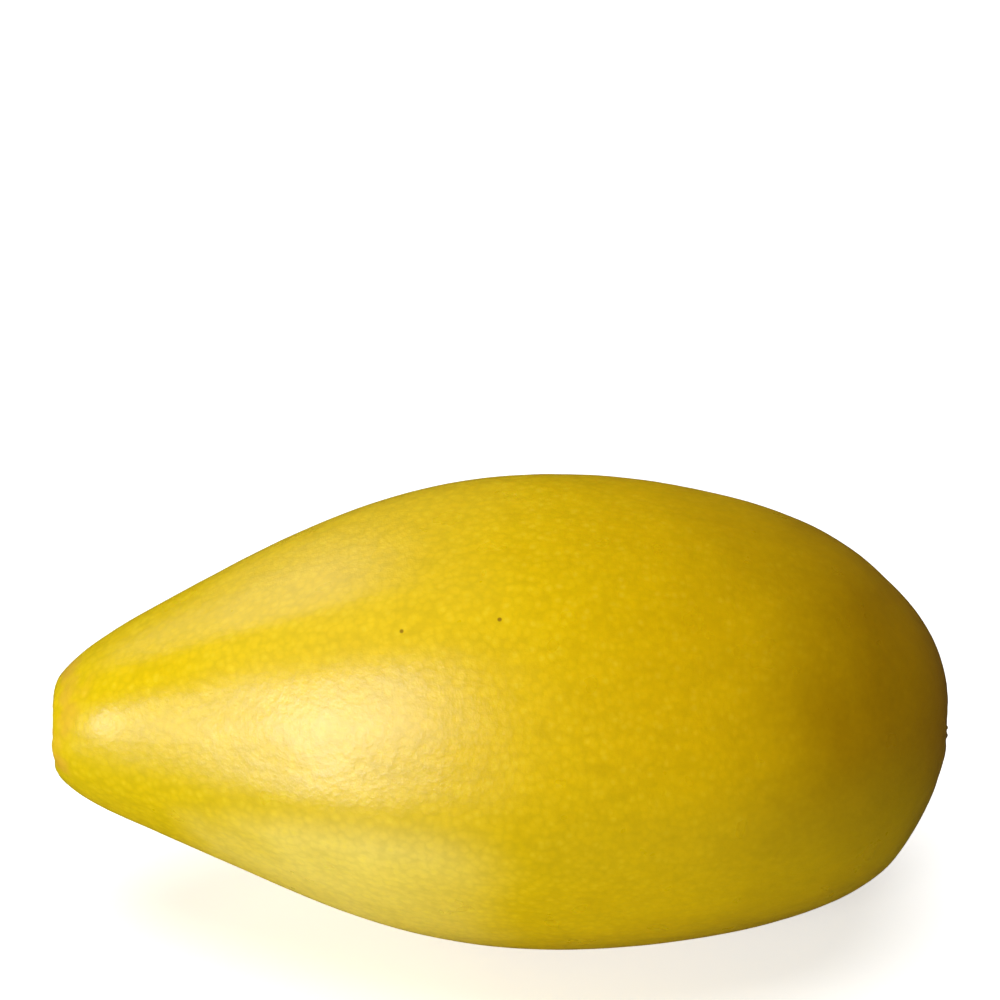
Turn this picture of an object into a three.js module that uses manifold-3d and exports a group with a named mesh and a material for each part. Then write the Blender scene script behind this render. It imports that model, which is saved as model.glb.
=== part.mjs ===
// A long yellow passion fruit, whole, as picked, lying on its side on a small flat spot.
// Millimetres, +Z up. The stem end points along -X and the blossom end along +X.
// The origin is under the middle of the fruit's box, on the surface that it rests on.
import * as THREE from "three";
import { mergeVertices } from "three/addons/utils/BufferGeometryUtils.js";
import Module from "manifold-3d";

// Length and girth. A sphere is stretched to HALF_LENGTH along X, and its half-width is scaled by a
// Bezier curve whose control values are GIRTH, from the stem end to the blossom end.
const HALF_LENGTH = 50.8;
const GIRTH = [20.2, 11, 36.1, 21.1, 28, 34];

// The flat stem end, and its corky scar, a shallow round recess with a sloping wall.
const STEM_FLAT_X = -49;
const SCAR_RADIUS = 2.9;
const SCAR_DEPTH = 0.8;
const SCAR_WALL = 0.5;

// The blossom end leans up a little, and has a shallow dimple around the dry stub of the style.
const END_START = 0.85;
const END_LEAN = 0.1;
const DIMPLE_RADIUS = 5;
const DIMPLE_DEPTH = 0.6;
const STUB_RADIUS = 1.1;
const STUB_HEIGHT = 0.5;

// Six blunt ribs run from end to end, with nearly flat faces between them. RIB_HEIGHT holds the Bezier
// control values of their height, as a share of the half-width, from the stem end to the blossom end.
// RIB_EDGE makes the ribs sharper than the faces between them.
const RIBS = 6;
const RIB_HEIGHT = [0.008, 0.05, 0.006, 0.005];
const RIB_EDGE = 0.12;

// The angle of the first rib above the level of the front, and how far each rib turns from the
// middle of the fruit to an end. The fruit lies on the face between two ribs.
const FIRST_RIB_ANGLE = THREE.MathUtils.degToRad(59);
const RIB_TWIST = THREE.MathUtils.degToRad(3);

// The ribs are fullest at this angle above the level of the front, and lowest opposite it.
const FULL_SIDE_ANGLE = THREE.MathUtils.degToRad(29);
const RIB_UNEVENNESS = 0.3;

// Both ends hang this far below the belly's centre line, and the drop grows with this power of the
// distance from the middle.
const BOW = 2.4;
const BOW_POWER = 3;

// The small flat spot that the fruit rests on.
const REST_FLAT_DEPTH = 0.2;

// How finely the skin is faceted, and how near two of its points are when they are one.
const RINGS = 40;
const FACETS = 60;
const SAME_POINT = 1e-3;

// The value at t, from 0 to 1, of the Bezier curve with these control values.
function bezier(values, t) {
  let row = values;
  while (row.length > 1) {
    row = row.slice(1).map((next, i) => THREE.MathUtils.lerp(row[i], next, t));
  }
  return row[0];
}

// The point of the fruit's profile at this angle from the stem pole, as (half-width, place along X).
function skinPoint(angle) {
  const along = -Math.cos(angle);
  const width = Math.sin(angle) * bezier(GIRTH, (along + 1) / 2);
  return new THREE.Vector2(width, HALF_LENGTH * along);
}

// The recess of the stem scar, from its middle out to its rim.
function scarProfile() {
  const floor = STEM_FLAT_X + SCAR_DEPTH;
  return [
    new THREE.Vector2(0, floor),
    new THREE.Vector2(SCAR_RADIUS - SCAR_WALL, floor),
    new THREE.Vector2(SCAR_RADIUS, STEM_FLAT_X),
  ];
}

// The skin, from the rim of the flat stem end to the edge of the style's stub.
function skinProfile() {
  const start = Math.acos(-STEM_FLAT_X / HALF_LENGTH);
  const end = Math.PI - Math.asin(STUB_RADIUS / GIRTH.at(-1));
  const points = [];
  for (let i = 0; i <= RINGS; i++) {
    points.push(skinPoint(THREE.MathUtils.lerp(start, end, i / RINGS)));
  }
  return points;
}

// The stub of the style, a low round button that closes the blossom end.
function stubProfile() {
  const top = HALF_LENGTH + STUB_HEIGHT;
  return [new THREE.Vector2(STUB_RADIUS, top), new THREE.Vector2(0, top)];
}

// How much the ribs widen the fruit, at this angle and this place along it, from -1 to 1.
function ribSwell(angle, along) {
  const turn = RIBS * (angle - FIRST_RIB_ANGLE - RIB_TWIST * along);
  const fullness = 1 + RIB_UNEVENNESS * Math.cos(angle - FULL_SIDE_ANGLE);
  const height = fullness * bezier(RIB_HEIGHT, (along + 1) / 2);
  return (Math.cos(turn) + RIB_EDGE * Math.cos(2 * turn)) * height;
}

// Moves one point of the plain turned shape to its place on the ribbed, bowed fruit.
function shapePoint(point) {
  const along = THREE.MathUtils.clamp(point.x / HALF_LENGTH, -1, 1);
  const radius = Math.hypot(point.y, point.z);
  const swell = 1 + ribSwell(Math.atan2(point.z, -point.y), along);
  const blossomEnd = THREE.MathUtils.smoothstep(along, END_START, 1);
  const dimple = Math.exp(-((radius / DIMPLE_RADIUS) ** 2)) * DIMPLE_DEPTH;
  point.x += blossomEnd * (END_LEAN * point.z - dimple);
  point.y *= swell;
  point.z = point.z * swell - BOW * Math.abs(along) ** BOW_POWER;
}

// The whole skin as one closed surface.
function makeSkin() {
  const profile = [...scarProfile(), ...skinProfile(), ...stubProfile()];
  const turned = new THREE.LatheGeometry(profile, FACETS);
  turned.rotateZ(-Math.PI / 2);
  turned.deleteAttribute("normal");
  turned.deleteAttribute("uv");
  const skin = mergeVertices(turned, SAME_POINT);
  const positions = skin.getAttribute("position");
  const point = new THREE.Vector3();
  for (let i = 0; i < positions.count; i++) {
    point.fromBufferAttribute(positions, i);
    shapePoint(point);
    positions.setXYZ(i, point.x, point.y, point.z);
  }
  return skin;
}

// A closed geometry as a solid that can be cut.
function toSolid(wasm, geometry) {
  const mesh = new wasm.Mesh({
    numProp: 3,
    vertProperties: geometry.getAttribute("position").array,
    triVerts: new Uint32Array(geometry.index.array),
  });
  return new wasm.Manifold(mesh);
}

// A cut solid as a geometry again.
function toGeometry(solid) {
  const mesh = solid.getMesh();
  const geometry = new THREE.BufferGeometry();
  geometry.setAttribute("position", new THREE.BufferAttribute(mesh.vertProperties, 3));
  geometry.setIndex(new THREE.BufferAttribute(mesh.triVerts, 1));
  return geometry;
}

// Cuts the small flat spot at the lowest part of the belly.
function cutRestingSpot(wasm, skin) {
  skin.computeBoundingBox();
  const size = skin.boundingBox.getSize(new THREE.Vector3());
  const block = new THREE.BoxGeometry(size.x, size.y, size.z);
  block.translate(0, 0, skin.boundingBox.min.z + REST_FLAT_DEPTH - size.z / 2);
  block.deleteAttribute("normal");
  block.deleteAttribute("uv");
  const cut = toSolid(wasm, skin).subtract(toSolid(wasm, mergeVertices(block)));
  return toGeometry(cut);
}

// Puts the middle of the box's underside at the origin.
function standOnOrigin(geometry) {
  geometry.computeBoundingBox();
  const middle = geometry.boundingBox.getCenter(new THREE.Vector3());
  geometry.translate(-middle.x, -middle.y, -geometry.boundingBox.min.z);
}

const wasm = await Module();
wasm.setup();

const fruitGeometry = cutRestingSpot(wasm, makeSkin());
standOnOrigin(fruitGeometry);
fruitGeometry.computeVertexNormals();

const rind = new THREE.MeshStandardMaterial({ color: "#dcb413", roughness: 0.45, metalness: 0 });
const passionFruit = new THREE.Mesh(fruitGeometry, rind);
passionFruit.name = "passion_fruit";

const fruit = new THREE.Group();
fruit.add(passionFruit);

export default fruit;
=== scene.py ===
import math

import bmesh
import bpy
from mathutils import Matrix, Vector, noise


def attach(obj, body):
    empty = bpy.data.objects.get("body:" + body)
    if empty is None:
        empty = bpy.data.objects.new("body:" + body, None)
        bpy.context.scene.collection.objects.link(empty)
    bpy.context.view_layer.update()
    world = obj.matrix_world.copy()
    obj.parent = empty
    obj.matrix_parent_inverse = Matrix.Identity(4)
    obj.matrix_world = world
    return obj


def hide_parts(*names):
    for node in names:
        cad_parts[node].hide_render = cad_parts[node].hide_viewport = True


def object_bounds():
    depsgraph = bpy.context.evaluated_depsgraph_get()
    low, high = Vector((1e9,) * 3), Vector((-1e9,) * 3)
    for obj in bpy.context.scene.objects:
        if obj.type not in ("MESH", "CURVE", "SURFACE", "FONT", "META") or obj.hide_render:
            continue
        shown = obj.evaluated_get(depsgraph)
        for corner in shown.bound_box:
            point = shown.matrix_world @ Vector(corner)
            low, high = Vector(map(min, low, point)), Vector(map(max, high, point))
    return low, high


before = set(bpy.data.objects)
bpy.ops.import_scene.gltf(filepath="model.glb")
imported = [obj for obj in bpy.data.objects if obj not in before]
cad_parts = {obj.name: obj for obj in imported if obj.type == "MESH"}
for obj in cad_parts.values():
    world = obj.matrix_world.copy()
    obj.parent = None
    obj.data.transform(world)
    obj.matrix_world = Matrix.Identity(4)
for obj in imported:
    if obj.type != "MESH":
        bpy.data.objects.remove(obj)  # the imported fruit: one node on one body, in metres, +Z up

bl_info = {
    "name": "Yellow Passion Fruit",
    "version": (1, 0, 0),
    "blender": (4, 5, 0),
    "location": "3D Viewport > Sidebar > Fruit",
    "description": "Makes a long yellow passion fruit with a ribbed, waxy rind, and a soft studio for it",
    "category": "Object",
}

NODE = "passion_fruit"
BODY = "root"
CAD_LOW, CAD_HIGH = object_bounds()
MIDDLE = (CAD_LOW + CAD_HIGH) / 2
MM = 0.001

MATH = "ShaderNodeMath"
VECTOR_MATH = "ShaderNodeVectorMath"
MAP_RANGE = "ShaderNodeMapRange"
MIX = "ShaderNodeMix"
NOISE = "ShaderNodeTexNoise"
SMOOTH = {"interpolation_type": "SMOOTHSTEP"}
NOISE_MIDDLE = 0.5


def linear(hex_colour):
    """An sRGB hex colour as linear red, green and blue."""
    shares = [int(hex_colour[i : i + 2], 16) / 255 for i in (1, 3, 5)]
    return tuple(s / 12.92 if s <= 0.04045 else ((s + 0.055) / 1.055) ** 2.4 for s in shares)


def add(tree, kind, inputs=(), **settings):
    """Adds one node with its settings, sets or links its inputs, and returns its first live output.

    The inputs are a tuple in the order of the node's sockets, or a dict by the socket's name or number.
    """
    node = tree.nodes.new(kind)
    for name, value in settings.items():
        setattr(node, name, value)
    pairs = inputs.items() if isinstance(inputs, dict) else enumerate(inputs)
    for socket, value in pairs:
        if isinstance(value, bpy.types.NodeSocket):
            tree.links.new(value, node.inputs[socket])
        else:
            node.inputs[socket].default_value = value
    return next((out for out in node.outputs if out.enabled), None)


# ---------------------------------------------------------------------------------------------
# Sizes and colours that a user would change


class FruitShape(bpy.types.PropertyGroup):
    """The sizes of the whole fruit."""

    half_length: bpy.props.FloatProperty(
        name="Half Length", description="From the middle of the fruit to its blossom end",
        default=50.8 * MM, unit="LENGTH",
    )
    girth: bpy.props.FloatVectorProperty(
        name="Girth", description="Control values of the half-width, from the stem end on",
        size=6, default=[g * MM for g in (20.2, 11.0, 36.1, 21.1, 28.0, 34.0)], unit="LENGTH",
    )
    ribs: bpy.props.FloatVectorProperty(
        name="Ribs", description="Control values of the rib height, as a share of the half-width",
        size=4, default=(0.008, 0.05, 0.006, 0.005),
    )
    rib_edge: bpy.props.FloatProperty(
        name="Rib Edge", description="How much sharper the ribs are than the faces between them",
        default=0.12, subtype="FACTOR",
    )
    rib_turn: bpy.props.FloatProperty(
        name="Rib Turn", description="Angle of the first rib above the level of the front",
        default=math.radians(59), subtype="ANGLE",
    )
    rib_twist: bpy.props.FloatProperty(
        name="Rib Twist", description="How far the ribs turn from the middle to an end",
        default=math.radians(3), subtype="ANGLE",
    )
    full_side: bpy.props.FloatProperty(
        name="Full Side", description="Where the ribs are fullest, above the level of the front",
        default=math.radians(29), subtype="ANGLE",
    )
    rib_unevenness: bpy.props.FloatProperty(
        name="Rib Unevenness", description="How much fuller the ribs are on the full side",
        default=0.3, subtype="FACTOR",
    )
    bow: bpy.props.FloatProperty(
        name="Bow", description="How far both ends hang below the belly's centre line",
        default=2.4 * MM, unit="LENGTH",
    )
    end_lean: bpy.props.FloatProperty(
        name="End Lean", description="Slope by which the blossom end leans up",
        default=0.1, subtype="FACTOR",
    )
    dimple_radius: bpy.props.FloatProperty(
        name="Dimple Radius", description="Radius of the shallow dimple at the blossom end",
        default=5 * MM, unit="LENGTH",
    )
    dimple_depth: bpy.props.FloatProperty(
        name="Dimple Depth", description="Depth of the shallow dimple at the blossom end",
        default=0.6 * MM, unit="LENGTH",
    )
    stem_flat: bpy.props.FloatProperty(
        name="Stem Flat", description="From the middle of the fruit to its flat stem end",
        default=49 * MM, unit="LENGTH",
    )
    scar_radius: bpy.props.FloatProperty(
        name="Scar Radius", description="Radius of the recess that holds the stem scar",
        default=2.9 * MM, unit="LENGTH",
    )
    scar_depth: bpy.props.FloatProperty(
        name="Scar Depth", description="Depth of the recess that holds the stem scar",
        default=0.8 * MM, unit="LENGTH",
    )
    pucker_height: bpy.props.FloatProperty(
        name="Pucker Height", description="Height of the fine folds that run into both ends",
        default=0.5 * MM, unit="LENGTH",
    )
    pucker_reach: bpy.props.FloatProperty(
        name="Pucker Reach", description="How far from the axis the fine folds fade out",
        default=11 * MM, unit="LENGTH",
    )
    swell_height: bpy.props.FloatProperty(
        name="Swell Height", description="Height of the broad unevenness of the skin",
        default=0.35 * MM, unit="LENGTH",
    )
    pore_spacing: bpy.props.FloatProperty(
        name="Pore Spacing", description="Distance between the fine pits of the skin",
        default=1.0 * MM, unit="LENGTH",
    )
    pore_depth: bpy.props.FloatProperty(
        name="Pore Depth", description="Depth of the fine pits of the skin",
        default=0.02 * MM, unit="LENGTH",
    )
    rest_depth: bpy.props.FloatProperty(
        name="Rest Depth", description="How much the flat spot takes off the lowest part of the belly",
        default=0.2 * MM, unit="LENGTH",
    )
    detail: bpy.props.IntProperty(
        name="Detail", description="Points along each side of the six patches of the skin",
        default=128, min=16, max=128,
    )


class EndSizes(bpy.types.PropertyGroup):
    """The sizes of the corky scar and of the dry stub."""

    scar_gap: bpy.props.FloatProperty(
        name="Scar Gap", description="Between the stem scar and the rim of its recess",
        default=0.15 * MM, unit="LENGTH",
    )
    scar_rise: bpy.props.FloatProperty(
        name="Scar Rise", description="Height of the stem scar above the floor of its recess",
        default=0.75 * MM, unit="LENGTH",
    )
    stub_radius: bpy.props.FloatProperty(
        name="Stub Radius", description="Radius of the dry remnant of the flower",
        default=1.2 * MM, unit="LENGTH",
    )
    stub_rise: bpy.props.FloatProperty(
        name="Stub Rise", description="Height of the dry remnant above the dimple",
        default=0.9 * MM, unit="LENGTH",
    )


class FruitColours(bpy.types.PropertyGroup):
    """The colours of the fruit, from its palest to its ripest, with painted shade in some and a painted
    reflection.
    """

    lemon: bpy.props.FloatVectorProperty(
        name="Lemon", description="Least ripe: the stem end",
        size=3, default=linear("#e1c20a"), subtype="COLOR", min=0, max=1,
    )
    golden: bpy.props.FloatVectorProperty(
        name="Golden", description="Half ripe: the belly",
        size=3, default=linear("#e6c108"), subtype="COLOR", min=0, max=1,
    )
    amber: bpy.props.FloatVectorProperty(
        name="Amber", description="Ripe: the shoulders of the blossom end",
        size=3, default=linear("#dcb302"), subtype="COLOR", min=0, max=1,
    )
    # Partly real ripeness and partly painted shade: it darkens the blossom end, which turns away from the
    # lights.
    ochre_and_shade: bpy.props.FloatVectorProperty(
        name="Ochre", description="Ripest: the blossom end",
        size=3, default=linear("#aa8000"), subtype="COLOR", min=0, max=1,
    )
    # Painted reflection: a pale patch on the lower side of the stem half, standing in for light reflected
    # up from below.
    painted_reflection: bpy.props.FloatVectorProperty(
        name="Bloom", description="Pale waxy bloom on the shaded side of the stem half",
        size=3, default=linear("#efda88"), subtype="COLOR", min=0, max=1,
    )
    # Partly the real greener cast of the lower side and partly painted shade: it also darkens that side.
    olive_and_shade: bpy.props.FloatVectorProperty(
        name="Olive", description="Greenish cast of the shaded side",
        size=3, default=linear("#c9b402"), subtype="COLOR", min=0, max=1,
    )
    speck: bpy.props.FloatVectorProperty(
        name="Speck", description="Pale yellow of the fine specks",
        size=3, default=linear("#f6e04a"), subtype="COLOR", min=0, max=1,
    )
    blush: bpy.props.FloatVectorProperty(
        name="Blush", description="Pinkish orange of the stem shoulder",
        size=3, default=linear("#e0a548"), subtype="COLOR", min=0, max=1,
    )
    # Its brown also darkens the blossom end, in a cast that is partly painted shade.
    freckle: bpy.props.FloatVectorProperty(
        name="Freckle", description="Brown of the freckles and of the rims of both scars",
        size=3, default=linear("#7d4f16"), subtype="COLOR", min=0, max=1,
    )
    cork: bpy.props.FloatVectorProperty(
        name="Cork", description="Dull tan of the dry stem scar",
        size=3, default=linear("#a58a5c"), subtype="COLOR", min=0, max=1,
    )
    dry_stub: bpy.props.FloatVectorProperty(
        name="Dry Stub", description="Dark brown of the dried flower remnant",
        size=3, default=linear("#4e3516"), subtype="COLOR", min=0, max=1,
    )


class StudioSetup(bpy.types.PropertyGroup):
    """The floor, the lights and the camera."""

    lens: bpy.props.FloatProperty(
        name="Lens", description="Focal length of the camera in millimetres", default=135,
    )
    distance: bpy.props.FloatProperty(
        name="Distance", description="From the camera to the middle of the fruit",
        default=0.4205, unit="LENGTH",
    )
    elevation: bpy.props.FloatProperty(
        name="Elevation", description="Angle of the camera above the level of the fruit",
        default=math.radians(35), subtype="ANGLE",
    )
    aim_above: bpy.props.FloatProperty(
        name="Aim Above", description="How far above the middle of the fruit the camera aims",
        default=23.7 * MM, unit="LENGTH",
    )
    light_distance: bpy.props.FloatProperty(
        name="Light Distance", description="From each soft box to the middle of the fruit",
        default=0.8, unit="LENGTH",
    )
    brightness: bpy.props.FloatProperty(
        name="Brightness", description="Strength of all the soft boxes together", default=1, min=0,
    )
    fill: bpy.props.FloatProperty(
        name="Fill", description="Strength of the even light from all round", default=0.02, min=0,
    )
    floor: bpy.props.FloatVectorProperty(
        name="Floor", description="Colour of the floor",
        size=3, default=linear("#f2f2f0"), subtype="COLOR", min=0, max=1,
    )
    floor_lift: bpy.props.FloatProperty(
        name="Floor Lift", description="How much the floor is brightened for the camera",
        default=0.6, min=0,
    )


# ---------------------------------------------------------------------------------------------
# Skin: a ball of even squares, drawn out by one rule

# The attribute that keeps each point's place on the ball that the skin is drawn out of: X runs from -1
# at the stem end to 1 at the blossom end.
PLACE = "skin_place"

RIB_COUNT = 6
END_START = 0.85  # where the blossom end begins to lean, on the ball
BOW_POWER = 3  # how fast the drop of both ends grows with the distance from the middle
STEM_EDGE = 0.9 * MM  # how softly the side of the fruit turns into its flat stem end
SCAR_WALL = 0.5 * MM  # the width of the sloping wall of the scar's recess
PRESSED_EDGE = 0.06 * MM  # how softly the belly turns into the flat resting spot
SWELL_SPACING = 17 * MM
FOLDS_AROUND = 3.4  # how many fine folds there are, as a scale of noise round the axis
FOLDS_FULL = 3.5 * MM  # how near the axis the fine folds stop growing
FOLDS_CLEAR = 4 * MM  # how far from the axis they are clear of the recess and of its wall


def bezier(tree, values, place):
    """The value at a place from 0 to 1 of the Bezier curve with these control values."""
    while len(values) > 1:
        pairs = zip(values, values[1:])
        values = [add(tree, MIX, {0: place, 2: a, 3: b}) for a, b in pairs]
    return values[0]


def skin_tree(shape):
    """The Geometry Nodes tree of the skin, and the identifiers of its inputs by name."""
    tree = bpy.data.node_groups.new("Fruit Skin", "GeometryNodeTree")
    tree.interface.new_socket("Geometry", in_out="OUTPUT", socket_type="NodeSocketGeometry")
    names = [p.name for p in shape.bl_rna.properties if p.type == "FLOAT" and not p.is_array]
    girths = [f"Girth {i + 1}" for i in range(len(shape.girth))]
    heights = [f"Ribs {i + 1}" for i in range(len(shape.ribs))]
    sockets = {
        name: tree.interface.new_socket(name, in_out="INPUT", socket_type="NodeSocketFloat")
        for name in names + girths + heights
    }
    sockets["Detail"] = tree.interface.new_socket("Detail", in_out="INPUT", socket_type="NodeSocketInt")
    sockets["Rind"] = tree.interface.new_socket("Rind", in_out="INPUT", socket_type="NodeSocketMaterial")
    size = add(tree, "NodeGroupInput").node.outputs

    # A cube of even squares becomes a ball of nearly even squares.
    detail = size["Detail"]
    cube = add(
        tree, "GeometryNodeMeshCube",
        {"Size": (2, 2, 2), "Vertices X": detail, "Vertices Y": detail, "Vertices Z": detail},
    )
    place = add(tree, "GeometryNodeInputPosition")
    angles = add(tree, VECTOR_MATH, (place, (math.pi / 4,) * 3), operation="MULTIPLY")
    spread = add(tree, VECTOR_MATH, (angles,), operation="TANGENT")
    ball = add(tree, VECTOR_MATH, (spread,), operation="NORMALIZE")
    kept = add(
        tree, "GeometryNodeStoreNamedAttribute", {"Geometry": cube, "Name": PLACE, "Value": ball},
        data_type="FLOAT_VECTOR", domain="POINT",
    )
    ball = add(tree, "GeometryNodeInputNamedAttribute", {"Name": PLACE}, data_type="FLOAT_VECTOR")
    xyz = add(tree, "ShaderNodeSeparateXYZ", (ball,)).node.outputs
    along, across, up = xyz["X"], xyz["Y"], xyz["Z"]

    # The half-width follows the girth curve, and low ribs stand out of it, fullest on one side.
    share = add(tree, MATH, (along, 0.5, 0.5), operation="MULTIPLY_ADD")
    girth = bezier(tree, [size[name] for name in girths], share)
    height = bezier(tree, [size[name] for name in heights], share)
    front = add(tree, MATH, (across, -1), operation="MULTIPLY")
    angle = add(tree, MATH, (up, front), operation="ARCTAN2")
    away = add(tree, MATH, (angle, size["Full Side"]), operation="SUBTRACT")
    nearness = add(tree, MATH, (away,), operation="COSINE")
    fullness = add(tree, MATH, (nearness, size["Rib Unevenness"], 1), operation="MULTIPLY_ADD")
    height = add(tree, MATH, (height, fullness), operation="MULTIPLY")
    first_rib = add(tree, MATH, (along, size["Rib Twist"], size["Rib Turn"]), operation="MULTIPLY_ADD")
    turn = add(tree, MATH, (angle, first_rib), operation="SUBTRACT")
    turns = add(tree, MATH, (turn, RIB_COUNT), operation="MULTIPLY")
    wave = add(tree, MATH, (turns,), operation="COSINE")
    double_turns = add(tree, MATH, (turn, 2 * RIB_COUNT), operation="MULTIPLY")
    sharper = add(tree, MATH, (double_turns,), operation="COSINE")
    edge = add(tree, MATH, (sharper, size["Rib Edge"]), operation="MULTIPLY")
    ribs = add(tree, MATH, (wave, edge), operation="ADD")
    ribbed = add(tree, MATH, (ribs, height, 1), operation="MULTIPLY_ADD")
    width = add(tree, MATH, (girth, ribbed), operation="MULTIPLY")

    # The blossom end leans up and has a dimple.
    along_squared = add(tree, MATH, (along, along), operation="MULTIPLY")
    across_squared = add(tree, MATH, (1, along_squared), operation="SUBTRACT")
    roundness = add(tree, MATH, (across_squared,), operation="SQRT")
    radius = add(tree, MATH, (girth, roundness), operation="MULTIPLY")
    dimple_share = add(tree, MATH, (radius, size["Dimple Radius"]), operation="DIVIDE")
    share_squared = add(tree, MATH, (dimple_share, dimple_share), operation="MULTIPLY")
    fall = add(tree, MATH, (share_squared, -1), operation="MULTIPLY")
    bell = add(tree, MATH, (fall,), operation="EXPONENT")
    sunk = add(tree, MATH, (bell, size["Dimple Depth"]), operation="MULTIPLY")
    plain_up = add(tree, MATH, (up, girth), operation="MULTIPLY")
    leaning = add(tree, MATH, (plain_up, size["End Lean"]), operation="MULTIPLY")
    change = add(tree, MATH, (leaning, sunk), operation="SUBTRACT")
    end = add(tree, MAP_RANGE, (along, END_START, 1), **SMOOTH)
    lean = add(tree, MATH, (end, change), operation="MULTIPLY")
    x = add(tree, MATH, (along, size["Half Length"], lean), operation="MULTIPLY_ADD")

    # Both ends hang down a little.
    distance = add(tree, MATH, (along,), operation="ABSOLUTE")
    growth = add(tree, MATH, (distance, BOW_POWER), operation="POWER")
    drop = add(tree, MATH, (growth, size["Bow"]), operation="MULTIPLY")
    y = add(tree, MATH, (across, width), operation="MULTIPLY")
    level = add(tree, MATH, (up, width), operation="MULTIPLY")
    z = add(tree, MATH, (level, drop), operation="SUBTRACT")

    # The stem end is flat, with a round recess for its scar.
    flat = add(tree, MATH, (size["Stem Flat"], -1), operation="MULTIPLY")
    x = add(tree, MATH, (x, flat, STEM_EDGE), operation="SMOOTH_MAX")
    wall = add(tree, MATH, (size["Scar Radius"], SCAR_WALL), operation="SUBTRACT")
    recess = add(tree, MAP_RANGE, (radius, size["Scar Radius"], wall, 0, size["Scar Depth"]), **SMOOTH)
    stem_half = add(tree, MATH, (along, 0), operation="LESS_THAN")
    x = add(tree, MATH, (recess, stem_half, x), operation="MULTIPLY_ADD")
    drawn = add(tree, "ShaderNodeCombineXYZ", (x, y, z))
    body = add(tree, "GeometryNodeSetPosition", {"Geometry": kept, "Position": drawn})

    # Broad unevenness, the folds of both ends and fine pits stand out along the skin's own direction.
    here = add(tree, "GeometryNodeInputPosition")
    broad = add(tree, NOISE, {"Vector": here, "Scale": 1 / SWELL_SPACING, "Detail": 2})
    broad = add(tree, MATH, (broad, NOISE_MIDDLE), operation="SUBTRACT")
    swell = add(tree, MATH, (broad, size["Swell Height"]), operation="MULTIPLY")
    around = add(tree, VECTOR_MATH, (ball, (0, 1, 1)), operation="MULTIPLY")
    around = add(tree, VECTOR_MATH, (around,), operation="NORMALIZE")
    folds = add(tree, NOISE, {"Vector": around, "Scale": FOLDS_AROUND, "Detail": 1})
    folds = add(tree, MATH, (folds, NOISE_MIDDLE), operation="SUBTRACT")
    outer = add(
        tree, MAP_RANGE, (radius, size["Pucker Reach"], FOLDS_FULL), interpolation_type="SMOOTHERSTEP",
    )
    inner = add(tree, MAP_RANGE, (radius, size["Scar Radius"], FOLDS_CLEAR), **SMOOTH)
    reach = add(tree, MATH, (outer, inner), operation="MULTIPLY")
    folds = add(tree, MATH, (folds, reach), operation="MULTIPLY")
    swell = add(tree, MATH, (folds, size["Pucker Height"], swell), operation="MULTIPLY_ADD")
    pore_scale = add(tree, MATH, (1, size["Pore Spacing"]), operation="DIVIDE")
    pits = add(
        tree, "ShaderNodeTexVoronoi", {"Vector": here, "Scale": pore_scale, "Smoothness": 1},
        feature="SMOOTH_F1",
    )
    relief = add(tree, MATH, (pits, size["Pore Depth"], swell), operation="MULTIPLY_ADD")
    outward = add(tree, "GeometryNodeInputNormal")
    offset = add(tree, VECTOR_MATH, {0: outward, "Scale": relief}, operation="SCALE")
    body = add(tree, "GeometryNodeSetPosition", {"Geometry": body, "Offset": offset})

    # The lowest part is pressed flat, and that flat spot is put at height zero.
    here = add(tree, "GeometryNodeInputPosition")
    xyz = add(tree, "ShaderNodeSeparateXYZ", (here,)).node.outputs
    low = add(tree, "GeometryNodeAttributeStatistic", {"Geometry": body, 2: xyz["Z"]}).node.outputs["Min"]
    ground = add(tree, MATH, (low, size["Rest Depth"]), operation="ADD")
    above = add(tree, MATH, (xyz["Z"], ground), operation="SUBTRACT")
    raised = add(tree, MATH, (above, 0, PRESSED_EDGE), operation="SMOOTH_MAX")
    seated = add(tree, "ShaderNodeCombineXYZ", (xyz["X"], xyz["Y"], raised))
    body = add(tree, "GeometryNodeSetPosition", {"Geometry": body, "Position": seated})

    smooth = add(tree, "GeometryNodeSetShadeSmooth", {"Geometry": body})
    real = add(tree, "GeometryNodeRealizeInstances", {"Geometry": smooth})
    painted = add(tree, "GeometryNodeSetMaterial", {"Geometry": real, "Material": size["Rind"]})
    add(tree, "NodeGroupOutput", (painted,))
    return tree, {name: socket.identifier for name, socket in sockets.items()}


class FRUIT_OT_skin(bpy.types.Operator):
    """Make the fruit's skin, with its ribs, its two ends and its flat resting spot"""

    bl_idname = "fruit.skin"
    bl_label = "Skin"

    def execute(self, context):
        shape = context.scene.fruit_shape
        tree, inputs = skin_tree(shape)
        skin = bpy.data.objects.new("skin", bpy.data.meshes.new("skin"))
        context.scene.collection.objects.link(skin)
        modifier = skin.modifiers.new("Fruit Skin", "NODES")
        modifier.node_group = tree
        for prop in shape.bl_rna.properties:
            if prop.type == "FLOAT" and not prop.is_array:
                modifier[inputs[prop.name]] = getattr(shape, prop.identifier)
        for name, values in (("Girth", shape.girth), ("Ribs", shape.ribs)):
            for i, value in enumerate(values):
                modifier[inputs[f"{name} {i + 1}"]] = value
        modifier[inputs["Detail"]] = shape.detail
        modifier[inputs["Rind"]] = rind_material(context.scene.fruit_colours)
        evaluated = skin.evaluated_get(context.evaluated_depsgraph_get())
        mesh = bpy.data.meshes.new_from_object(evaluated)
        skin.modifiers.remove(modifier)
        skin.data = mesh
        places = [v.co.x for v in mesh.vertices]
        shift = MIDDLE.x - (min(places) + max(places)) / 2
        mesh.transform(Matrix.Translation((shift, MIDDLE.y, CAD_LOW.z)))
        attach(skin, BODY)
        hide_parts(NODE)
        return {"FINISHED"}


# ---------------------------------------------------------------------------------------------
# End pieces: two round buttons with a modelled top

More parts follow.
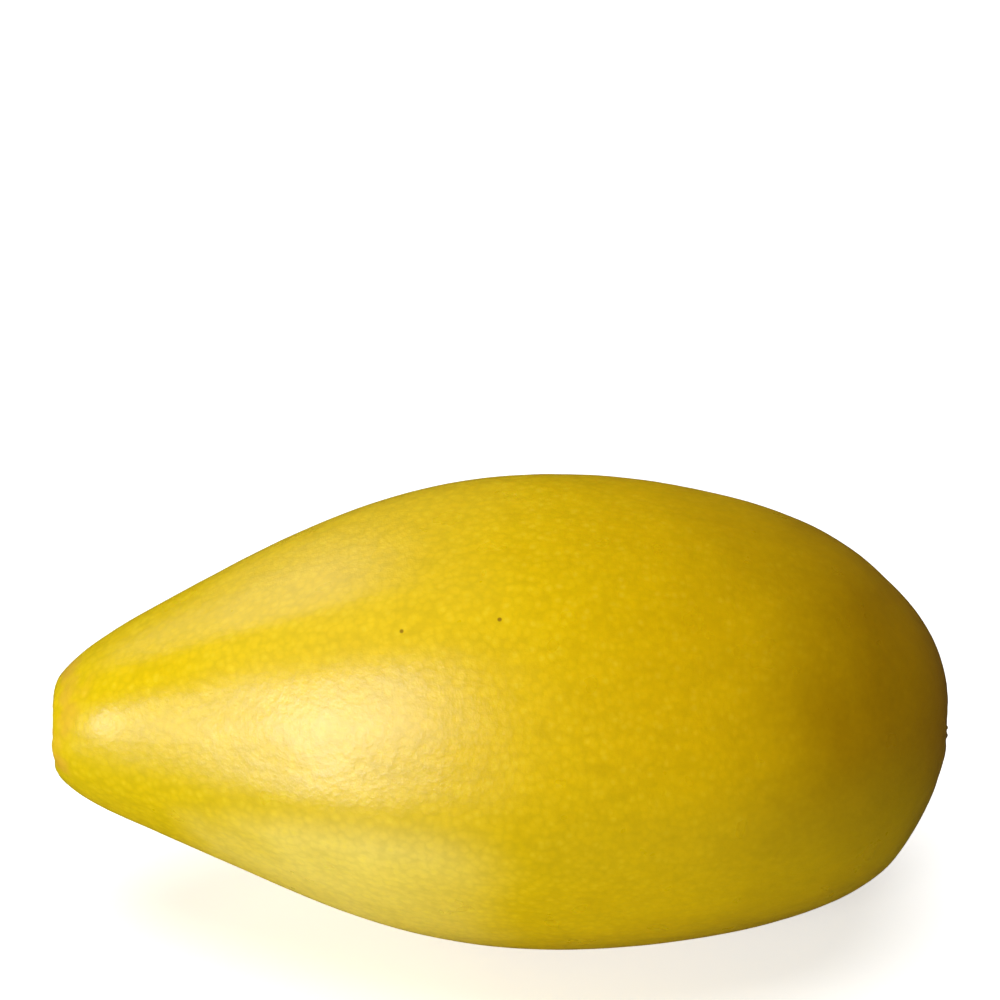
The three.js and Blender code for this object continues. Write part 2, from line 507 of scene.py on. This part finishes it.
# How finely both pieces are divided, and how often and how far their outline strays from a circle.
RINGS, SEGMENTS = 36, 96
OUTLINE_BENDS, OUTLINE_UNEVENNESS = 1.6, 0.05

# The relief of the stem scar, in millimetres: a raised rim that falls off at its edge, a ring of pith
# round a sunken middle, a fine grain, and cracks that run out from the middle. Each span is in shares
# of the scar's radius.
RIM_HEIGHT, RIM_SPAN = 0.16, (0.72, 1.08)
EDGE_DROP, EDGE_START = 0.25, 0.9
PITH_HEIGHT, PITH_SPAN = 0.2, (0.2, 0.46)
HOLLOW_DEPTH, HOLLOW_SPAN = 0.16, (-0.24, 0.24)
GRAIN_HEIGHT, GRAIN_COUNT = 0.07, 9
CRACK_DEPTH, CRACK_SPAN = 0.45, (0.25, 0.98)
CRACK_COUNT, CRACK_WANDER = 4.5, 0.8
SCAR_SKIRT = 0.1 * MM

# The dry stub, as shares of its rise and of its radius: a ragged height round it, with a few peaks, a
# square shoulder, and a hollow in the middle of its top.
STUB_LEVEL, STUB_RAGGEDNESS, STUB_PEAKS = 0.75, 0.5, 2.2
STUB_OFFSET = (3, 1)
STUB_HOLLOW, STUB_HOLLOW_START = 0.45, 0.45
STUB_SHOULDER_POWER = 4
STUB_SKIRT = 0.5 * MM


def skin_pole(side):
    """The middle of the skin's stem end, for side -1, or of its blossom end, for side 1."""
    mesh = bpy.data.objects["skin"].data
    places = mesh.attributes[PLACE].data
    nearest = max(range(len(places)), key=lambda i: places[i].vector.x * side)
    return mesh.vertices[nearest].co.copy()


def button(name, centre, side, radius, skirt, top, material):
    """A closed round piece facing along X, whose top is top(share of the radius, angle)."""
    shape = bmesh.new()

    def outline(angle):
        bend = Vector((math.cos(angle), math.sin(angle), side)) * OUTLINE_BENDS
        return 1 + OUTLINE_UNEVENNESS * noise.noise(bend)

    def ring(share, height):
        points = []
        for k in range(SEGMENTS):
            angle = math.tau * k / SEGMENTS
            reach = radius * share * outline(angle)
            place = (reach * math.cos(angle), reach * math.sin(angle), height(share, angle))
            points.append(shape.verts.new(place))
        return points

    loops = [ring((i + 1) / RINGS, top) for i in range(RINGS)]
    loops.append(ring(1.0, lambda share, angle: -skirt))
    tip = shape.verts.new((0, 0, top(0, 0)))
    base = shape.verts.new((0, 0, -skirt))
    for k in range(SEGMENTS):
        after = (k + 1) % SEGMENTS
        shape.faces.new((tip, loops[0][k], loops[0][after]))
        shape.faces.new((base, loops[-1][after], loops[-1][k]))
        for near, far in zip(loops, loops[1:]):
            shape.faces.new((near[k], far[k], far[after], near[after]))
    bmesh.ops.recalc_face_normals(shape, faces=shape.faces)
    for face in shape.faces:
        face.smooth = True
    mesh = bpy.data.meshes.new(name)
    shape.to_mesh(mesh)
    shape.free()
    mesh.transform(Matrix.Translation(centre) @ Matrix.Rotation(side * math.pi / 2, 4, "Y"))
    mesh.materials.append(material)
    piece = bpy.data.objects.new(name, mesh)
    bpy.context.scene.collection.objects.link(piece)
    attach(piece, BODY)
    return piece


def bump_between(value, low, high):
    """A smooth hump that rises from low, is 1 halfway, and falls to nothing at high."""
    share = (value - low) / (high - low)
    return math.sin(math.pi * share) ** 2 if 0 < share < 1 else 0.0


class FRUIT_OT_stem_scar(bpy.types.Operator):
    """Make the corky scar where the stem came off"""

    bl_idname = "fruit.stem_scar"
    bl_label = "Stem Scar"

    def execute(self, context):
        shape, ends = context.scene.fruit_shape, context.scene.fruit_ends
        colours = context.scene.fruit_colours

        def top(share, angle):
            spoke = Vector((math.cos(angle), math.sin(angle), 0))
            wander = Vector((0, 0, share * CRACK_WANDER))
            cracks = max(0.0, noise.noise(spoke * CRACK_COUNT + wander)) * CRACK_DEPTH
            grain = noise.noise(spoke * share * GRAIN_COUNT) * GRAIN_HEIGHT
            edge = max(0.0, share - EDGE_START) / (1 - EDGE_START)
            rim = RIM_HEIGHT * bump_between(share, *RIM_SPAN) - EDGE_DROP * edge
            hollow = HOLLOW_DEPTH * bump_between(share, *HOLLOW_SPAN)
            pith = PITH_HEIGHT * bump_between(share, *PITH_SPAN) - hollow
            height = rim + pith + grain - cracks * bump_between(share, *CRACK_SPAN)
            return ends.scar_rise + height * MM

        radius = shape.scar_radius - ends.scar_gap
        cork = cork_material("Dry Stem Cork", colours.cork, colours.freckle, skin_pole(-1), radius)
        button("stem_scar", skin_pole(-1), -1, radius, SCAR_SKIRT, top, cork)
        return {"FINISHED"}


class FRUIT_OT_style_stub(bpy.types.Operator):
    """Make the dry remnant of the flower in the dimple of the blossom end"""

    bl_idname = "fruit.style_stub"
    bl_label = "Style Stub"

    def execute(self, context):
        ends, colours = context.scene.fruit_ends, context.scene.fruit_colours

        def top(share, angle):
            spoke = Vector((math.cos(angle), math.sin(angle), 0))
            bend = spoke * STUB_PEAKS + Vector((*STUB_OFFSET, share))
            ragged = STUB_LEVEL + STUB_RAGGEDNESS * noise.noise(bend)
            shoulder = math.sqrt(max(0.0, 1 - share**STUB_SHOULDER_POWER))
            hollow = STUB_HOLLOW * max(0.0, 1 - share / STUB_HOLLOW_START) ** 2
            return ends.stub_rise * (shoulder * ragged - hollow)

        dry = cork_material(
            "Dried Flower Remnant", colours.dry_stub, colours.freckle, skin_pole(1), ends.stub_radius,
        )
        button("style_stub", skin_pole(1), 1, ends.stub_radius, STUB_SKIRT, top, dry)
        return {"FINISHED"}


# ---------------------------------------------------------------------------------------------
# Materials

# The real sizes of the rind's patterns.
CLOUD_SPACING = 20 * MM
BLUSH_SPACING = 5 * MM
MOTTLE_SPACING = 3.2 * MM
SPECK_SPACING = 0.95 * MM
SPECK_WARP_SPACING, SPECK_WARP = 1.4 * MM, 0.5 * MM
FINE_SPACING = 0.6 * MM
STREAK_STRETCH, STREAK_SCALE = (1.2, 14, 14), 1.6  # long along the fruit, narrow across it
STAIN_SPACING = 1.6 * MM
FRECKLE_SPACING = 7 * MM
WAX_SPACING = 6 * MM
PORE_SPACING = 0.4 * MM

# Where the zones of the rind's colour begin and end, and how much of their colour shows at most. ALONG
# is a place from -1 at the stem end to 1 at the blossom end, ROUND is the distance from the axis, 1 at
# the middle of the ball and 0 at its poles, and SHADED is how far a place faces down and to the front,
# the side the lights above leave in shade, where painted shade and a painted reflection are put.
SHADE = (0, -0.57, -0.82)
CLOUD_SHARE = 0.25
# The stops of the ripeness ramp; its dark amber and ochre end is partly painted shade.
GOLDEN_PLACE, AMBER_PLACE, OCHRE_AND_SHADE_PLACE = 0.5, 0.7, 0.92
OLIVE_AND_SHADE_SPAN, OLIVE_AND_SHADE_SHARE, OLIVE_AND_SHADE_LEAST_ROUND = (0.0, 0.9), 0.42, 0.35
# Where the painted reflection lies along the fruit and round it, how patchy it is, and its faint trace
# all round.
REFLECTION_ALONG_END, REFLECTION_ALONG_START, REFLECTION_DRIFT = (0.13, -0.32), (-0.7, -0.45), 0.5
REFLECTION_SHADED, REFLECTION_SHARE, REFLECTION_TRACE = (0.42, 0.62), 0.85, 0.07
REFLECTION_PATCHES, REFLECTION_LEVEL = 0.8, 0.95
SPECK_REACH, SPECK_SHARE, SPECKLESS_RIPENESS = (0.5, 0.1), 0.22, (1.0, 0.45)
SEAM_REACH, SEAM_DARKNESS, RIPE_SEAM_DARKNESS = (0.35, 0.8), -0.06, -0.015
STREAK_TONE, FINE_TONE, MOTTLE_TONE, MIDDLE_TONE = 0.12, 0.12, 0.14, 1.01
BLUSH_ROUND, BLUSH_PATCHES, BLUSH_SHARE = (0.62, 0.25), (0.5, 0.68), 0.55
# A brown cast round the blossom end, partly painted shade.
BURNT_AND_SHADE_ROUND, BURNT_AND_SHADE_SHARE = (0.52, 0.22), 0.42
STAIN_ROUND, STAIN_SHARE, STAIN_RAGGEDNESS = (0.2, 0.08), 0.5, 0.16
FRECKLE_REACH, FRECKLE_SHARE, FRECKLE_RARITY = (0.045, 0.02), 0.75, 0.85

# The shine: a satin wax that is a little uneven, duller on the stains, over pores.
WAX_ROUGHNESS, WAX_UNEVENNESS, STAIN_ROUGHNESS = 0.29, 0.1, 0.35
SPECK_RELIEF, PORE_RELIEF = 0.45, 0.8
RIND_BUMP = {"Strength": 0.5, "Distance": 0.05 * MM}
RIND_SHINE = {"IOR": 1.5}
RIND_DEPTH = {
    "Subsurface Weight": 0.08, "Subsurface Radius": (1, 0.5, 0.1), "Subsurface Scale": 1.2 * MM,
}


def rind_material(colours):
    """Waxy passion fruit rind, grown: lemon to ochre, finely specked, with a soft satin shine, and with
    painted shade on its lower side and blossom end and a painted reflection below its stem half.
    """
    material = bpy.data.materials.new("Waxy Passion Fruit Rind")
    material.use_nodes = True
    tree = material.node_tree
    tree.nodes.clear()
    here = add(tree, "ShaderNodeTexCoord").node.outputs["Object"]
    place = add(tree, "ShaderNodeAttribute", attribute_name=PLACE).node.outputs["Vector"]
    along = add(tree, "ShaderNodeSeparateXYZ", (place,)).node.outputs["X"]
    across = add(tree, VECTOR_MATH, (place, (0, 1, 1)), operation="MULTIPLY")
    ring = add(tree, VECTOR_MATH, (across,), operation="LENGTH").node.outputs["Value"]

    # It ripens from the stem end to the blossom end, and is cloudy in between; its dark end is also
    # painted shade.
    clouds = add(tree, NOISE, {"Vector": here, "Scale": 1 / CLOUD_SPACING, "Detail": 3})
    clouds = add(tree, MATH, (clouds, NOISE_MIDDLE), operation="SUBTRACT")
    ripe = add(tree, MATH, (along, 0.5, 0.5), operation="MULTIPLY_ADD")
    ripe = add(tree, MATH, (clouds, CLOUD_SHARE, ripe), operation="MULTIPLY_ADD")
    # Lemon to golden to amber to ochre: the dark amber and ochre end is partly painted shade.
    colour = add(tree, "ShaderNodeValToRGB", (ripe,))
    stops = colour.node.color_ramp.elements
    stops[0].position, stops[0].color = 0.0, (*colours.lemon, 1)
    stops[1].position, stops[1].color = OCHRE_AND_SHADE_PLACE, (*colours.ochre_and_shade, 1)
    for position, middle in ((GOLDEN_PLACE, colours.golden), (AMBER_PLACE, colours.amber)):
        stops.new(position).color = (*middle, 1)

    # The lower front side is a little greener and, as painted shade, darker; its stem half has a painted
    # reflection, a pale patch that stands in for light thrown up from below.
    shaded = add(tree, VECTOR_MATH, (place, SHADE), operation="DOT_PRODUCT").node.outputs["Value"]
    thick = add(tree, MATH, (ring, OLIVE_AND_SHADE_LEAST_ROUND), operation="MAXIMUM")
    lower = add(tree, MATH, (shaded, thick), operation="DIVIDE")
    # Olive and painted shade on the lower front side.
    olive_and_shade = add(tree, MAP_RANGE, (lower, *OLIVE_AND_SHADE_SPAN, 0, OLIVE_AND_SHADE_SHARE), **SMOOTH)
    colour = add(tree, MIX, {0: olive_and_shade, 6: colour, 7: (*colours.olive_and_shade, 1)}, data_type="RGBA")
    # The painted reflection: a pale patch over the lower side of the stem half.
    drift = add(tree, MATH, (clouds, REFLECTION_DRIFT, along), operation="MULTIPLY_ADD")
    fades = add(tree, MAP_RANGE, (drift, *REFLECTION_ALONG_END), **SMOOTH)
    starts = add(tree, MAP_RANGE, (drift, *REFLECTION_ALONG_START), **SMOOTH)
    belly = add(tree, MATH, (fades, starts), operation="MULTIPLY")
    patchy = add(tree, MATH, (clouds, REFLECTION_PATCHES, REFLECTION_LEVEL), operation="MULTIPLY_ADD")
    veiled = add(tree, MAP_RANGE, (shaded, *REFLECTION_SHADED, 0, REFLECTION_SHARE), **SMOOTH)
    veiled = add(tree, MATH, (veiled, REFLECTION_TRACE), operation="ADD")
    painted_reflection = add(tree, MATH, (belly, patchy), operation="MULTIPLY")
    painted_reflection = add(tree, MATH, (painted_reflection, veiled), operation="MULTIPLY")
    colour = add(tree, MIX, {0: painted_reflection, 6: colour, 7: (*colours.painted_reflection, 1)}, data_type="RGBA")

    # Pale specks about a millimetre apart, each a little different, fade out on the ripe end.
    warp = add(tree, NOISE, {"Vector": here, "Scale": 1 / SPECK_WARP_SPACING}).node.outputs["Color"]
    warped = add(tree, VECTOR_MATH, (warp, (SPECK_WARP,) * 3, here), operation="MULTIPLY_ADD")
    spots = add(tree, "ShaderNodeTexVoronoi", {"Vector": warped, "Scale": 1 / SPECK_SPACING}).node.outputs
    plain = add(tree, MAP_RANGE, (ripe, *SPECKLESS_RIPENESS), **SMOOTH)
    paleness = add(tree, "ShaderNodeSeparateColor", {0: spots["Color"]}).node.outputs["Red"]
    paleness = add(tree, MATH, (paleness, SPECK_SHARE), operation="MULTIPLY")
    specks = add(tree, MAP_RANGE, (spots["Distance"], *SPECK_REACH), **SMOOTH)
    specks = add(tree, MATH, (specks, paleness), operation="MULTIPLY")
    specks = add(tree, MATH, (specks, plain), operation="MULTIPLY")
    colour = add(tree, MIX, {0: specks, 6: colour, 7: (*colours.speck, 1)}, data_type="RGBA")
    darkness = add(tree, MATH, (plain, SEAM_DARKNESS, RIPE_SEAM_DARKNESS), operation="MULTIPLY_ADD")
    seams = add(tree, MAP_RANGE, (spots["Distance"], *SEAM_REACH), **SMOOTH)
    seams = add(tree, MATH, (seams, darkness), operation="MULTIPLY")

    # Faint lengthwise streaks, drawn out from the stem end, under a mottle of two sizes.
    drawn = add(tree, VECTOR_MATH, (place, STREAK_STRETCH), operation="MULTIPLY")
    streaks = add(tree, NOISE, {"Vector": drawn, "Scale": STREAK_SCALE, "Detail": 3})
    streaks = add(tree, MATH, (streaks, NOISE_MIDDLE), operation="SUBTRACT")
    tone = add(tree, MATH, (streaks, STREAK_TONE, MIDDLE_TONE), operation="MULTIPLY_ADD")
    tone = add(tree, MATH, (tone, seams), operation="ADD")
    fine = add(tree, NOISE, {"Vector": here, "Scale": 1 / FINE_SPACING, "Detail": 2})
    fine = add(tree, MATH, (fine, NOISE_MIDDLE), operation="SUBTRACT")
    tone = add(tree, MATH, (fine, FINE_TONE, tone), operation="MULTIPLY_ADD")
    mottle = add(tree, NOISE, {"Vector": here, "Scale": 1 / MOTTLE_SPACING, "Detail": 3})
    mottle = add(tree, MATH, (mottle, NOISE_MIDDLE), operation="SUBTRACT")
    tone = add(tree, MATH, (mottle, MOTTLE_TONE, tone), operation="MULTIPLY_ADD")
    shades = add(tree, "ShaderNodeCombineColor", (tone, tone, tone))
    colour = add(tree, MIX, {0: 1.0, 6: colour, 7: shades}, data_type="RGBA", blend_type="MULTIPLY")

    # A patchy blush on the stem shoulder, a brown cast on the blossom end that is partly painted shade,
    # and stains round both scars.
    stem = add(tree, MATH, (along, 0), operation="LESS_THAN")
    patches = add(tree, NOISE, {"Vector": here, "Scale": 1 / BLUSH_SPACING, "Detail": 2})
    patches = add(tree, MAP_RANGE, (patches, *BLUSH_PATCHES, 0, BLUSH_SHARE), **SMOOTH)
    shoulder = add(tree, MAP_RANGE, (ring, *BLUSH_ROUND), **SMOOTH)
    blush = add(tree, MATH, (shoulder, patches), operation="MULTIPLY")
    blush = add(tree, MATH, (blush, stem), operation="MULTIPLY")
    colour = add(tree, MIX, {0: blush, 6: colour, 7: (*colours.blush, 1)}, data_type="RGBA")
    blossom = add(tree, MATH, (1, stem), operation="SUBTRACT")
    burnt_and_shade = add(tree, MAP_RANGE, (ring, *BURNT_AND_SHADE_ROUND, 0, BURNT_AND_SHADE_SHARE), **SMOOTH)
    burnt_and_shade = add(tree, MATH, (burnt_and_shade, blossom), operation="MULTIPLY")
    colour = add(tree, MIX, {0: burnt_and_shade, 6: colour, 7: (*colours.freckle, 1)}, data_type="RGBA")
    ragged = add(tree, NOISE, {"Vector": here, "Scale": 1 / STAIN_SPACING, "Detail": 4})
    ragged = add(tree, MATH, (ragged, NOISE_MIDDLE), operation="SUBTRACT")
    ragged = add(tree, MATH, (ragged, STAIN_RAGGEDNESS, ring), operation="MULTIPLY_ADD")
    stain = add(tree, MAP_RANGE, (ragged, *STAIN_ROUND, 0, STAIN_SHARE), **SMOOTH)
    colour = add(tree, MIX, {0: stain, 6: colour, 7: (*colours.freckle, 1)}, data_type="RGBA")

    # Sparse brown freckles: about one cell in seven has one.
    cells = add(tree, "ShaderNodeTexVoronoi", {"Vector": here, "Scale": 1 / FRECKLE_SPACING}).node.outputs
    chosen = add(tree, "ShaderNodeSeparateColor", {0: cells["Color"]}).node.outputs["Green"]
    chosen = add(tree, MATH, (chosen, FRECKLE_RARITY), operation="GREATER_THAN")
    freckles = add(tree, MAP_RANGE, (cells["Distance"], *FRECKLE_REACH, 0, FRECKLE_SHARE), **SMOOTH)
    freckles = add(tree, MATH, (freckles, chosen), operation="MULTIPLY")
    colour = add(tree, MIX, {0: freckles, 6: colour, 7: (*colours.freckle, 1)}, data_type="RGBA")

    # Its pores and wax break the shine a little.
    pores = add(tree, NOISE, {"Vector": here, "Scale": 1 / PORE_SPACING, "Detail": 2})
    pores = add(tree, MATH, (pores, PORE_RELIEF), operation="MULTIPLY")
    height = add(tree, MATH, (spots["Distance"], SPECK_RELIEF, pores), operation="MULTIPLY_ADD")
    bump = add(tree, "ShaderNodeBump", {"Height": height, **RIND_BUMP})
    wax = add(tree, NOISE, {"Vector": here, "Scale": 1 / WAX_SPACING, "Detail": 3})
    wax = add(tree, MATH, (wax, NOISE_MIDDLE), operation="SUBTRACT")
    rough = add(tree, MATH, (wax, WAX_UNEVENNESS, WAX_ROUGHNESS), operation="MULTIPLY_ADD")
    rough = add(tree, MATH, (stain, STAIN_ROUGHNESS, rough), operation="MULTIPLY_ADD")
    shader = add(
        tree, "ShaderNodeBsdfPrincipled",
        {"Base Color": colour, "Roughness": rough, "Normal": bump, **RIND_SHINE, **RIND_DEPTH},
    )
    add(tree, "ShaderNodeOutputMaterial", {"Surface": shader})
    return material


FIBRE_SPACING = 0.35 * MM
CORK_RINGS = 2.5
CORK_DARK_PLACE, CORK_PALE_PLACE = 0.15, 0.75
CORK_ROUGHNESS = 0.85
CORK_BUMP = {"Strength": 0.6, "Distance": 0.08 * MM}


def cork_material(name, pale, dark, centre, radius):
    """Dry plant tissue, healed or withered: dull, fibrous, in dark and pale rings round its middle."""
    material = bpy.data.materials.new(name)
    material.use_nodes = True
    tree = material.node_tree
    tree.nodes.clear()
    here = add(tree, "ShaderNodeTexCoord").node.outputs["Object"]
    centred = add(tree, "ShaderNodeMapping", {"Vector": here, "Location": tuple(-centre)})
    flat = add(tree, VECTOR_MATH, (centred, (0, 1, 1)), operation="MULTIPLY")
    reach = add(tree, VECTOR_MATH, (flat,), operation="LENGTH").node.outputs["Value"]
    share = add(tree, MAP_RANGE, (reach, 0, radius))
    fibres = add(tree, NOISE, {"Vector": here, "Scale": 1 / FIBRE_SPACING, "Detail": 4})
    mixed = add(tree, MATH, (share, CORK_RINGS, fibres), operation="MULTIPLY_ADD")
    rings = add(tree, MATH, (mixed, 1.0), operation="PINGPONG")
    colour = add(tree, "ShaderNodeValToRGB", (rings,))
    stops = colour.node.color_ramp.elements
    stops[0].position, stops[0].color = CORK_DARK_PLACE, (*dark, 1)
    stops[1].position, stops[1].color = CORK_PALE_PLACE, (*pale, 1)
    bump = add(tree, "ShaderNodeBump", {"Height": fibres, **CORK_BUMP})
    shader = add(
        tree, "ShaderNodeBsdfPrincipled",
        {"Base Color": colour, "Roughness": CORK_ROUGHNESS, "Normal": bump},
    )
    add(tree, "ShaderNodeOutputMaterial", {"Surface": shader})
    return material


# The board fades to pure white between these distances from the fruit. The light that it throws back
# on the fruit has a warm colour, and only this share of the board's lift.
FADE_START, FADE_END = 0.12, 0.45
THROWN_BACK = "#fffc70"
THROWN_BACK_SHARE = 1 / 6


def floor_material(colour, lift):
    """Matt white paper board: nearly white to the camera, pure white far off, warm to the fruit."""
    material = bpy.data.materials.new("White Board")
    material.use_nodes = True
    tree = material.node_tree
    tree.nodes.clear()
    here = add(tree, "ShaderNodeTexCoord").node.outputs["Object"]
    reach = add(tree, VECTOR_MATH, (here,), operation="LENGTH").node.outputs["Value"]
    far = add(tree, MAP_RANGE, (reach, FADE_START, FADE_END), **SMOOTH)
    paper = add(tree, "ShaderNodeBsdfDiffuse", {"Color": (*colour, 1)})
    glow = add(tree, "ShaderNodeEmission", {"Strength": lift})
    near = add(tree, "ShaderNodeAddShader", (paper, glow))
    white = add(tree, "ShaderNodeEmission", {"Strength": 1.0})
    seen = add(tree, "ShaderNodeMixShader", (far, near, white))
    warm = (*linear(THROWN_BACK), 1)
    bounce = add(tree, "ShaderNodeBsdfDiffuse", {"Color": warm})
    faint = add(tree, "ShaderNodeEmission", {"Color": warm, "Strength": lift * THROWN_BACK_SHARE})
    unseen = add(tree, "ShaderNodeAddShader", (bounce, faint))
    camera = add(tree, "ShaderNodeLightPath").node.outputs["Is Camera Ray"]
    board = add(tree, "ShaderNodeMixShader", (camera, unseen, seen))
    add(tree, "ShaderNodeOutputMaterial", {"Surface": board})
    return material


# ---------------------------------------------------------------------------------------------
# Stage

# Each soft box: its name, its degrees to the right of the camera and above it, seen from the fruit,
# its width and height in metres, its watts, and whether the wax mirrors it. The two keys make the long
# highlight, the stem window the small one on the stem shoulder, and the back window the thin one above.
SOFT_BOXES = (
    ("key", -45.5, -12.5, 0.23, 0.17, 1.65, True),
    ("key_side", -30, -9, 0.28, 0.23, 1.2, True),
    ("stem_window", -67, -7.5, 0.14, 0.17, 0.9, True),
    ("back_window", -116, 54, 0.36, 0.3, 0.42, True),
    ("overhead", -9, 57, 1.1, 0.7, 6.15, False),
)

FLOOR_RADIUS, FLOOR_SEGMENTS = 3, 64
CLIP = (0.01, 20)


def round_the_fruit(elevation, right, above, distance):
    """A place this far from the fruit, turned from the camera's direction and facing the fruit."""
    tipped = Matrix.Rotation(-elevation, 4, "X")
    turned = Matrix.Rotation(right, 4, "Z") @ Matrix.Rotation(math.pi / 2 - above, 4, "X")
    return Matrix.Translation(MIDDLE) @ tipped @ turned @ Matrix.Translation((0, 0, distance))


def soft_box(studio, name, right, above, width, height, watts, mirrored):
    """A soft oval light that faces the fruit."""
    light = bpy.data.lights.new(name, "AREA")
    light.shape = "ELLIPSE"
    light.size, light.size_y = width, height
    light.energy = watts * studio.brightness
    # A light that the wax doesn't mirror needs no rays but those that are aimed at it.
    light.cycles.use_multiple_importance_sampling = mirrored
    lamp = bpy.data.objects.new(name, light)
    lamp.matrix_world = round_the_fruit(
        studio.elevation, math.radians(right), math.radians(above), studio.light_distance,
    )
    lamp.visible_camera = False
    lamp.visible_glossy = mirrored
    bpy.context.scene.collection.objects.link(lamp)


def studio_air(fill):
    """The surroundings: white to the camera, and a faint even light on the fruit."""
    world = bpy.data.worlds.new("Studio Air")
    world.use_nodes = True
    tree = world.node_tree
    tree.nodes.clear()
    camera = add(tree, "ShaderNodeLightPath").node.outputs["Is Camera Ray"]
    dim = add(tree, "ShaderNodeBackground", {"Color": (1, 1, 1, 1), "Strength": fill})
    white = add(tree, "ShaderNodeBackground", {"Color": (1, 1, 1, 1), "Strength": 1.0})
    air = add(tree, "ShaderNodeMixShader", (camera, dim, white))
    add(tree, "ShaderNodeOutputWorld", {"Surface": air})
    return world


class FRUIT_OT_stage(bpy.types.Operator):
    """Make the pale floor, the soft lights and the camera"""

    bl_idname = "fruit.stage"
    bl_label = "Stage"

    def execute(self, context):
        studio = context.scene.fruit_studio
        mesh = bpy.data.meshes.new("floor")
        floor = bpy.data.objects.new("floor", mesh)
        context.scene.collection.objects.link(floor)
        disc = bmesh.new()
        bmesh.ops.create_circle(disc, cap_ends=True, radius=FLOOR_RADIUS, segments=FLOOR_SEGMENTS)
        disc.to_mesh(mesh)
        disc.free()
        mesh.materials.append(floor_material(studio.floor, studio.floor_lift))
        floor.visible_glossy = False
        for box in SOFT_BOXES:
            soft_box(studio, *box)
        context.scene.world = studio_air(studio.fill)

        camera = bpy.data.cameras.new("camera")
        camera.lens = studio.lens
        camera.clip_start, camera.clip_end = CLIP
        eye = bpy.data.objects.new("camera", camera)
        context.scene.collection.objects.link(eye)
        eye.matrix_world = round_the_fruit(studio.elevation, 0, 0, studio.distance)
        above = math.atan2(studio.aim_above, studio.distance)
        eye.matrix_world = eye.matrix_world @ Matrix.Rotation(above, 4, "X")
        context.scene.camera = eye
        context.scene.view_settings.view_transform = "Standard"
        return {"FINISHED"}


class FRUIT_PT_panel(bpy.types.Panel):
    """The sidebar panel that lists the fruit's pieces and sizes"""

    bl_idname = "FRUIT_PT_panel"
    bl_label = "Passion Fruit"
    bl_space_type = "VIEW_3D"
    bl_region_type = "UI"
    bl_category = "Fruit"

    def draw(self, context):
        for operator in PIECES:
            self.layout.operator(operator.bl_idname)
        for name in SETTINGS:
            group = getattr(context.scene, name)
            box = self.layout.box()
            for prop in group.bl_rna.properties:
                if prop.identifier not in {"name", "rna_type"}:
                    box.prop(group, prop.identifier)


PIECES = (FRUIT_OT_skin, FRUIT_OT_stem_scar, FRUIT_OT_style_stub, FRUIT_OT_stage)
SETTINGS = {
    "fruit_shape": FruitShape,
    "fruit_ends": EndSizes,
    "fruit_colours": FruitColours,
    "fruit_studio": StudioSetup,
}


def register():
    """Registers the add-on's classes and puts its settings on the scene."""
    for cls in (*SETTINGS.values(), *PIECES, FRUIT_PT_panel):
        bpy.utils.register_class(cls)
    for name, group in SETTINGS.items():
        setattr(bpy.types.Scene, name, bpy.props.PointerProperty(type=group))


def unregister():
    """Takes the settings off the scene and unregisters the classes."""
    for name in SETTINGS:
        delattr(bpy.types.Scene, name)
    for cls in reversed((*SETTINGS.values(), *PIECES, FRUIT_PT_panel)):
        bpy.utils.unregister_class(cls)


def main():
    """Makes every piece and the stage."""
    register()
    bpy.ops.fruit.skin()
    bpy.ops.fruit.stem_scar()
    bpy.ops.fruit.style_stub()
    bpy.ops.fruit.stage()


if __name__ == "__main__":
    main()
